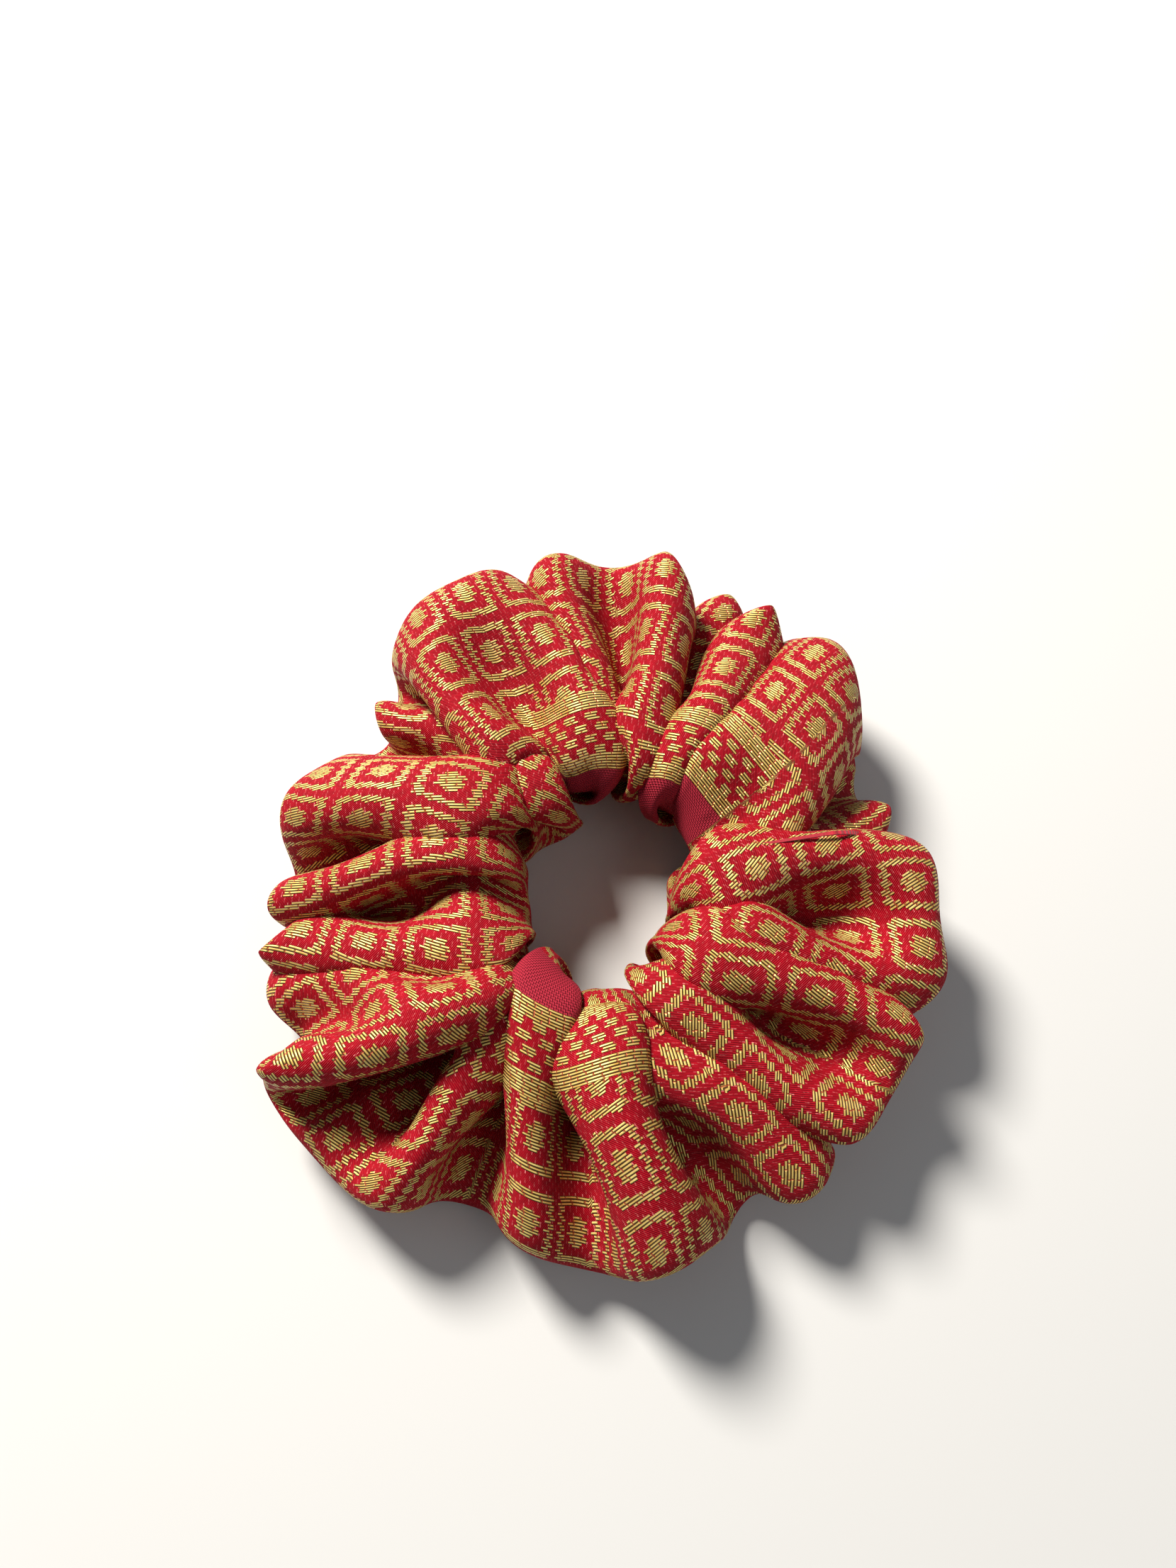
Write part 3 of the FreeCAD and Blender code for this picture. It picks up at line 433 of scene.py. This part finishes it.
# ------------------------------------------------------------------ shader arithmetic
class Val:
    """a value in a shader's node tree, written as arithmetic"""
    def __init__(self, nt, s): self.nt, self.s = nt, s
    def op(self, name, *others, clamp=False):
        n = self.nt.nodes.new("ShaderNodeMath"); n.operation = name; n.use_clamp = clamp
        for i, x in enumerate((self,) + others):
            if isinstance(x, Val): self.nt.links.new(x.s, n.inputs[i])
            else: n.inputs[i].default_value = float(x)
        return Val(self.nt, n.outputs[0])
    def __add__(self, o): return self.op("ADD", o)
    __radd__ = __add__
    def __sub__(self, o): return self.op("SUBTRACT", o)
    def __rsub__(self, o): return (self * -1.0).op("ADD", o)
    def __mul__(self, o): return self.op("MULTIPLY", o)
    __rmul__ = __mul__
    def __truediv__(self, o): return self.op("DIVIDE", o)
    def fract(self): return self.op("FRACT")
    def floor(self): return self.op("FLOOR")
    def mod(self, m): return self.op("FLOORED_MODULO", m)
    def abs(self): return self.op("ABSOLUTE")
    def max(self, o): return self.op("MAXIMUM", o)
    def min(self, o): return self.op("MINIMUM", o)
    def gt(self, o): return self.op("GREATER_THAN", o)
    def lt(self, o): return self.op("LESS_THAN", o)
    def pow(self, o): return self.op("POWER", o)
    def sin(self): return self.op("SINE")
    def sat(self): return self.op("ADD", 0.0, clamp=True)
    def ramp(self, a, b):
        """0 below a, 1 above b, straight between"""
        return ((self - a) / (b - a)).sat()
def mixf(t, a, b):
    """a where t is 0, b where t is 1"""
    a_v = a if isinstance(a, Val) else None
    if a_v is None: a_v = t * 0.0 + a
    return a_v + (b - a_v if isinstance(b, Val) else (a_v * -1.0 + b)) * t
def colour_mix(nt, fac, a, b, kind="MIX"):
    n = nt.nodes.new("ShaderNodeMix"); n.data_type = "RGBA"; n.blend_type = kind
    if isinstance(fac, Val): nt.links.new(fac.s, n.inputs[0])
    else: n.inputs[0].default_value = fac
    for i, x in ((6, a), (7, b)):
        if hasattr(x, "links"): nt.links.new(x, n.inputs[i])
        else: n.inputs[i].default_value = (*x, 1.0)
    return n.outputs[2]
def srgb(r, g, b):
    return tuple((c / 255 / 12.92) if c / 255 <= 0.04045 else ((c / 255 + 0.055) / 1.055) ** 2.4 for c in (r, g, b))
def noise(nt, vec, scale, detail=2.0, rough=0.5):
    n = nt.nodes.new("ShaderNodeTexNoise"); n.inputs["Scale"].default_value = scale
    n.inputs["Detail"].default_value = detail; n.inputs["Roughness"].default_value = rough
    nt.links.new(vec, n.inputs["Vector"])
    return Val(nt, n.outputs["Fac"])
def vec(nt, x, y, z=0.0):
    n = nt.nodes.new("ShaderNodeCombineXYZ")
    for i, q in enumerate((x, y, z)):
        if isinstance(q, Val): nt.links.new(q.s, n.inputs[i])
        else: n.inputs[i].default_value = float(q)
    return n.outputs[0]

PU, PV = 9.2, 12.0            # one square of the pattern, along and across the strip: eight rows round the tube
BAND, LINE1, COMB, LINE2 = 9.0, 2.7, 7.2, 3.1   # plain band beside the selvedge, gold line, dashes, gold line
THREAD = 0.45
def brocade():
    m = bpy.data.materials.new("crimson_gold_brocade"); m.use_nodes = True
    nt = m.node_tree; nt.nodes.clear()
    uvn = nt.nodes.new("ShaderNodeUVMap"); uvn.uv_map = "Weave"
    sp = nt.nodes.new("ShaderNodeSeparateXYZ"); nt.links.new(uvn.outputs[0], sp.inputs[0])
    def point(name):
        q = nt.nodes.new("ShaderNodeAttribute"); q.attribute_name = name; return Val(nt, q.outputs["Fac"])
    U = Val(nt, sp.outputs[0]) * 100.0; V0 = Val(nt, sp.outputs[1]) * 100.0
    V = (V0 + point("turn")).mod(ROUND)
    uv3 = vec(nt, U, V0)
    F0 = BAND + LINE1 + COMB + LINE2
    field = V.gt(F0)
    # threads: in the stripes they run along the strip, in the squares they lie at a slant
    wx = noise(nt, uv3, 0.055, 1.0) - 0.5; wy = noise(nt, vec(nt, V0, U, 3.0), 0.055, 1.0) - 0.5
    cx = (((U + wx * 3.0) / PU).fract() - 0.5) * PU; cy = (((V0 + wy * 3.0) / PV).fract() - 0.5) * PV
    phi = point("lay"); c, s = phi.op("COSINE"), phi.op("SINE")
    sf = cx * c + cy * s; tf = cy * c - cx * s
    S = mixf(field, U, sf); T = mixf(field, V, tf)
    n = (T / THREAD).floor(); ft = (T / THREAD).fract()
    rnd = ((n * 12.9898).sin() * 43758.5453).fract()    # one number for each thread
    Sj = S + (n.mod(3.0) - 1.0) * 0.36 + (rnd - 0.5) * 0.3
    Tc = (n + 0.5) * THREAD
    xq = ((Sj * c - Tc * s) / PU).abs(); yq = ((Sj * s + Tc * c) / PV).abs()
    d = (xq.pow(9.0) + yq.pow(9.0)).pow(1 / 9.0)
    blob = (xq.pow(2.8) + yq.pow(2.8)).pow(1 / 2.8)
    gold_f = blob.lt(0.176).max(d.gt(0.316) * d.lt(0.426))
    edge = (1.0 - (d - 0.316).abs() * 22.0).max(1.0 - (d - 0.426).abs() * 22.0).max(1.0 - (blob - 0.176).abs() * 22.0).sat()
    brick = ((V - BAND - LINE1) / 1.8).floor()
    comb = ((U + n.mod(2.0) * 0.4 + brick * 1.45 + (rnd - 0.5) * 0.4) / 3.9).fract().lt(0.56) * (n + 2.0).mod(4.0).lt(2.5)
    gold_b = V.gt(BAND) * mixf(V.gt(BAND + LINE1) * V.lt(BAND + LINE1 + COMB), 1.0, comb)
    gold = mixf(field, gold_b, gold_f)
    # where each gold thread dips under its tie
    fa = ((Sj + n * 0.9) / 2.6).fract()
    tie = fa.lt(0.085)
    tick = ((S + (n / 2.0).floor() * 0.65) / 1.3).fract().lt(0.12)
    x = (ft * 2.0 - 1.0).abs()
    prof = (1.0 - x * x).max(0.0).pow(0.5)
    # painted shade mask: 0 on a gold thread's crown, 1 at its sides and in the gap beside the next thread
    thread_gap_shade = x.ramp(0.20, 0.70)
    dip = 1.0 - (1.0 - (fa - 0.045).abs() * 9.0).max(0.0)
    # plain red ground: fine ribs both ways
    r1 = ((U / 0.42).fract() * 2.0 - 1.0).abs(); r2 = ((V0 / 0.42).fract() * 2.0 - 1.0).abs()
    chk = ((U / 0.42).floor() + (V0 / 0.42).floor()).mod(2.0)
    plain_h = mixf(chk, 1.0 - r1 * r1, 1.0 - r2 * r2).max(0.0)
    tw_x = (((U * 0.8 + V0) / 0.34).fract() * 2.0 - 1.0).abs()
    red_h = mixf(V.gt(BAND), plain_h, (1.0 - tw_x * tw_x) * 0.5) * 0.45
    n1 = noise(nt, uv3, 0.9, 3.0); n2 = noise(nt, vec(nt, S * 0.45, n * 3.1), 1.0, 2.0)
    # colours
    # gold threads: brighter cream stretches that change at random along each thread, partly the threads' own tone and
    # partly painted glints
    g = colour_mix(nt, (n2 * 1.7 - 0.35).sat(), srgb(208, 152, 60), srgb(255, 234, 146))
    # painted shade: the gold darkens to deep brown at the sides of each thread and in the gaps between threads
    g = colour_mix(nt, thread_gap_shade * 0.93, g, srgb(58, 14, 4))
    g = colour_mix(nt, tie * 0.75, g, srgb(168, 44, 40))
    r = colour_mix(nt, (n1 * 1.4 - 0.2).sat(), srgb(134, 2, 16), srgb(186, 6, 32))
    # painted shade: the red ground darkens in the grooves between the twill ribs, where the bump is lowest
    r = colour_mix(nt, tw_x.pow(2.0) * 0.55, r, srgb(70, 0, 8))
    r = colour_mix(nt, tick * V.gt(BAND) * x.lt(0.8) * (edge * 0.70 + 0.16), r, srgb(240, 142, 138))
    # plain band: lighter on the tops of its ribs and darker between them, painted light and shade that follow the rib
    # bump
    plain_c = colour_mix(nt, plain_h * 0.9, srgb(104, 10, 26), srgb(176, 42, 60))
    r = colour_mix(nt, V.lt(BAND), r, plain_c)
    col = colour_mix(nt, gold, r, g)
    bs = nt.nodes.new("ShaderNodeBsdfPrincipled")
    nt.links.new(col, bs.inputs["Base Color"])
    nt.links.new((gold * 0.35 * prof).s, bs.inputs["Metallic"])
    nt.links.new(mixf(gold, 0.78, 0.34 + n2 * 0.14).s, bs.inputs["Roughness"])
    bs.inputs["Specular IOR Level"].default_value = 0.16
    hgt = mixf(gold, red_h, 0.35 + prof * 0.65 * dip)
    bump = nt.nodes.new("ShaderNodeBump"); bump.inputs["Distance"].default_value = 0.0003; bump.inputs["Strength"].default_value = 1.0
    nt.links.new(hgt.s, bump.inputs["Height"]); nt.links.new(bump.outputs[0], bs.inputs["Normal"])
    out = nt.nodes.new("ShaderNodeOutputMaterial"); nt.links.new(bs.outputs[0], out.inputs[0])
    return m
def ribbed(name, hi, lo, pitch, axis, rough=0.75):
    """knitted elastic or twisted thread: ribs across one direction"""
    m = bpy.data.materials.new(name); m.use_nodes = True
    nt = m.node_tree; nt.nodes.clear()
    tc = nt.nodes.new("ShaderNodeTexCoord"); sp = nt.nodes.new("ShaderNodeSeparateXYZ"); nt.links.new(tc.outputs["Object"], sp.inputs[0])
    x = Val(nt, sp.outputs[axis]) * 1000.0
    w = ((x / pitch).fract() * 2.0 - 1.0).abs()
    nz = noise(nt, tc.outputs["Object"], 1800.0, 3.0)
    # darker in the grooves between ribs, where the bump is lowest: painted shade, with some random tone from the noise
    col = colour_mix(nt, (w * 0.7 + nz * 0.5 - 0.2).sat(), hi, lo)
    bs = nt.nodes.new("ShaderNodeBsdfPrincipled"); nt.links.new(col, bs.inputs["Base Color"])
    bs.inputs["Roughness"].default_value = rough
    bs.inputs["Sheen Weight"].default_value = 0.2
    bump = nt.nodes.new("ShaderNodeBump"); bump.inputs["Distance"].default_value = 0.0002; bump.inputs["Strength"].default_value = 0.7
    nt.links.new((1.0 - w + nz * 0.3).s, bump.inputs["Height"]); nt.links.new(bump.outputs[0], bs.inputs["Normal"])
    out = nt.nodes.new("ShaderNodeOutputMaterial"); nt.links.new(bs.outputs[0], out.inputs[0])
    return m
CLOTH = brocade()
ELASTIC = ribbed("knitted_elastic", srgb(236, 232, 222), srgb(188, 182, 170), 0.9, 2)
THREADM = ribbed("sewing_thread", srgb(206, 34, 54), srgb(120, 10, 26), 0.35, 2, 0.5)

# ------------------------------------------------------------------ pieces of cover between the bodies
BODIES = [("gather_01", 156.0), ("gather_02", 121.0), ("gather_03", 88.0), ("gather_04", 65.0), ("gather_05", 47.0), ("gather_06", 23.5),
          ("cover_end_over", 9.5), ("cover_end_tucked", 6.5), ("gather_07", -9.5), ("gather_08", -40.5), ("gather_09", -63.5),
          ("gather_10", -81.0), ("gather_11", -104.5), ("gather_12", -128.5), ("gather_13", -152.5), ("gather_14", -175.5), ("gather_01", -204.0)]
def to_m(P):
    return P * 0.001 + np.array([CX, CY, 0.0])
def mesh_object(name, verts, faces, mats):
    me = bpy.data.meshes.new(name)
    me.from_pydata(verts.tolist(), [], faces.tolist()); me.update()
    ob = bpy.data.objects.new(name, me)
    bpy.context.scene.collection.objects.link(ob)
    for m in mats: me.materials.append(m)
    me.polygons.foreach_set("use_smooth", np.ones(len(me.polygons), bool))
    return ob
def cloth_piece(name, rows, P3, N3, wts, a, b):
    """a length of the tube from its rows of points; wts is how far each row follows body b"""
    n = len(rows)
    verts = to_m(P3.reshape(-1, 3))
    i = np.arange(n - 1)[:, None]; j = np.arange(NV)[None]
    j2 = (j + 1) % NV
    f = np.stack([i * NV + j, (i + 1) * NV + j, (i + 1) * NV + j2, i * NV + j2], -1).reshape(-1, 4)
    ob = mesh_object(name, verts, f, [CLOTH])
    me = ob.data
    uv = me.uv_layers.new(name="Weave")
    ru = rows * HU
    ri = np.mod(rows, NU)
    U4 = np.stack([ru[:-1], ru[1:], ru[1:], ru[:-1]], -1)[:, None, :] + np.zeros((1, NV, 1))
    V4 = np.stack([j[0] * HV, j[0] * HV, (j[0] + 1) * HV, (j[0] + 1) * HV], -1)[None] + np.zeros((n - 1, 1, 1))
    uv.data.foreach_set("uv", (np.stack([U4, V4], -1) / 100.0).astype(np.float32).ravel())
    at = me.attributes.new("lay", "FLOAT", "POINT")
    at.data.foreach_set("value", np.repeat(lay[ri], NV).astype(np.float32))
    at = me.attributes.new("turn", "FLOAT", "POINT")
    at.data.foreach_set("value", np.repeat(tw[ri], NV).astype(np.float32))
    me.normals_split_custom_set_from_vertices(N3.reshape(-1, 3).tolist())
    if a == b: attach(ob, a)
    else:
        c = verts.mean(0)
        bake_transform(ob, a, b, tuple(c - 0.001), tuple(c + 0.001))
        me.attributes["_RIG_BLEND"].data.foreach_set("value", np.repeat(wts, NV).astype(np.float32))
    return ob
def rows_of(r):
    return FINE[np.mod(r, NU)], NORM[np.mod(r, NU)]
def weight(r, A, B):
    w = (A - angle_of(r)) / (A - B)
    return np.clip(w, 0, 1)
covers = []
spans = [(k, BODIES[k], BODIES[k + 1]) for k in range(len(BODIES) - 1)]
SEAM = row_at(8.0)
CUT = [row_at(A) for a, A in BODIES]        # the rows where one length of cover ends and the next begins
for i in range(len(CUT) - 2, 0, -1):
    if BODIES[i][0].startswith("gather") and CUT[i + 1] - CUT[i] < 21: CUT[i] = CUT[i + 1] - 21
for i in range(1, len(CUT) - 1):
    if BODIES[i][0].startswith("gather") and CUT[i] - CUT[i - 1] < 21: CUT[i] = CUT[i - 1] + 21
for k, (a, A), (b, B) in spans:
    if a == "cover_end_over": continue          # the seam itself
    r0, r1 = CUT[k], CUT[k + 1]
    name = "cover_%02d" % (len(covers) + 1)
    if b == "cover_end_over": r1 = SEAM
    if a == "cover_end_tucked": r0 = SEAM
    r = np.arange(r0, r1 + 1)
    Pk, Nk = rows_of(r)
    w = weight(r, A, B); w = (w - w[0]) / max(w[-1] - w[0], 1e-6)
    if b == "cover_end_over":
        e = CUT[k + 1]; w = np.clip((r - r0) / max(e - r0, 1), 0, 1) if e > r0 else w
        # the edge is turned under: three rows go back inside
        q = np.arange(1, 7)
        inn = np.array([.35, .75, .85, .85, .85, .85])
        back = r1 - np.array([0, 0, 1, 3, 5, 7])
        Pb, Nb = rows_of(back)
        Pk = np.concatenate([Pk, Pb - Nb * inn[:, None, None]]); Nk = np.concatenate([Nk, np.where(inn[:, None, None] > .7, -Nb, Nb)])
        w = np.concatenate([w, np.ones(6)]); rr = np.concatenate([r, r1 + q])
    elif a == "cover_end_tucked":
        e = row_at(A)
        w = np.clip((r - max(e, r0)) / max(r1 - max(e, r0), 1), 0, 1)
        q = np.arange(8, 0, -1)                  # rows that run on inside the other end
        Pf, Nf = rows_of(r0 - q)
        inset = np.full(8, 1.15)
        Pk = Pk - Nk * (np.clip(1 - (r - r0) / 5.0, 0, 1) * 1.0)[:, None, None]
        Pk = np.concatenate([Pf - Nf * inset[:, None, None], Pk]); Nk = np.concatenate([Nf, Nk])
        w = np.concatenate([np.zeros(8), w]); rr = np.concatenate([r0 - q, r])
    else: rr = r
    w[0] = 0.0 if a != "cover_end_tucked" else w[0]
    w[-1] = 1.0
    ob = cloth_piece(name, rr, Pk, Nk, w, a, b)
    covers.append((ob, len(rr) * HU, a, b))

# ------------------------------------------------------------------ elastic and seam thread, one span for each length of cover
def ring_point(r, A, z):
    t = np.radians(A); return np.stack([r * np.cos(t), r * np.sin(t), z + 0 * t], -1)
def swept(name, section, A, mat, a, b, wts):
    """a ring's span: section is a list of (r, z), A the angles"""
    n, m = len(A), len(section)
    P3 = np.stack([ring_point(r, A, z) for r, z in section], 1)
    verts = to_m(P3.reshape(-1, 3))
    i = np.arange(n - 1)[:, None]; j = np.arange(m)[None]; j2 = (j + 1) % m
    f = np.stack([i * m + j, i * m + j2, (i + 1) * m + j2, (i + 1) * m + j], -1).reshape(-1, 4)
    ob = mesh_object(name, verts, f, [mat])
    if a == b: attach(ob, a)
    else:
        c = verts.mean(0)
        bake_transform(ob, a, b, tuple(c - 0.001), tuple(c + 0.001))
        ob.data.attributes["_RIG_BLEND"].data.foreach_set("value", np.repeat(wts, m).astype(np.float32))
    return ob
def band_section(r0, r1, z0, z1, ribs):
    """a flat band's outline with shallow ribs and rounded edges"""
    z = np.linspace(z0, z1, ribs * 4 + 1)
    f = 0.5 * (r1 - r0); mid = 0.5 * (r0 + r1)
    edge = np.sqrt(np.clip(1 - (np.abs(z - (z0 + z1) / 2) / ((z1 - z0) / 2)) ** 8, 0, 1))
    rib = 0.82 + 0.18 * np.abs(np.sin(np.pi * ribs * (z - z0) / (z1 - z0)))
    h = f * edge * rib
    return [(mid + q, zz) for q, zz in zip(h, z)] + [(mid - q, zz) for q, zz in zip(h[::-1][1:-1], z[::-1][1:-1])]
elastics = []
tsec = [(21.25 + 0.22 * math.cos(t), 8.65 + 0.22 * math.sin(t)) for t in np.linspace(0, 2 * math.pi, 9)[:-1]]
for k, (a, A), (b, B) in spans:
    if a == "cover_end_over": a = "gather_06"; continue
    A2, B2 = A, B
    if b == "cover_end_over": B2 = 8.0
    if a == "cover_end_tucked": A2 = 8.0
    th = np.linspace(A2, B2, max(4, int(abs(A2 - B2) / 1.5)))
    w = np.clip((A - th) / (A - B), 0, 1)
    el = swept("elastic_%02d" % (len(elastics) + 1), band_section(20.5, 21.5, 10.9, 17.9, 7), th, ELASTIC, a, b, w)
    tt = swept("seam_thread_%02d" % (len(elastics) + 1), tsec, th, THREADM, a, b, w)
    elastics.append((el, tt))
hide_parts("elastic_band"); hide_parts("long_seam_thread")
for i, (ob, ul, a, b) in enumerate(covers):
    ul / 1000.0
    own = [x for x in (a,) if x != "cover_end_over"]
    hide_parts(*(["cover_end_tucked"] if a == "cover_end_tucked" else [a]), *(["cover_end_over"] if b == "cover_end_over" else []))
for n in ("elastic_lap_stitches", "closing_seam_thread"):
    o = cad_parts[n]
    o.data.materials.clear(); o.data.materials.append(THREADM)

# ------------------------------------------------------------------ floor and light
fm = bpy.data.materials.new("pale_floor"); fm.use_nodes = True
fb = fm.node_tree.nodes["Principled BSDF"]; fb.inputs["Base Color"].default_value = (0.62, 0.61, 0.59, 1); fb.inputs["Roughness"].default_value = 0.9
me = bpy.data.meshes.new("floor"); me.from_pydata([(-3, -3, -0.0002), (3, -3, -0.0002), (3, 3, -0.0002), (-3, 3, -0.0002)], [], [(0, 1, 2, 3)])
me.materials.append(fm); floor = bpy.data.objects.new("floor", me); bpy.context.scene.collection.objects.link(floor)
def area(name, loc, size, power, colour):
    l = bpy.data.lights.new(name, "AREA"); l.shape = "DISK"; l.size = size; l.energy = power; l.color = colour
    o = bpy.data.objects.new(name, l); o.location = loc
    d = Vector((CX, CY, 0.01)) - Vector(loc); o.rotation_euler = d.to_track_quat("-Z", "Y").to_euler()
    bpy.context.scene.collection.objects.link(o); return o
area("key", (-0.38, 0.50, 0.60), 0.28, 17.0, (1.0, 0.97, 0.92))
area("fill", (0.6, -0.4, 0.6), 0.8, 1.5, (0.93, 0.96, 1.0))
world = bpy.data.worlds.new("studio"); bpy.context.scene.world = world; world.use_nodes = True
bg = world.node_tree.nodes["Background"]; bg.inputs[0].default_value = (0.80, 0.84, 0.90, 1); bg.inputs[1].default_value = 0.17
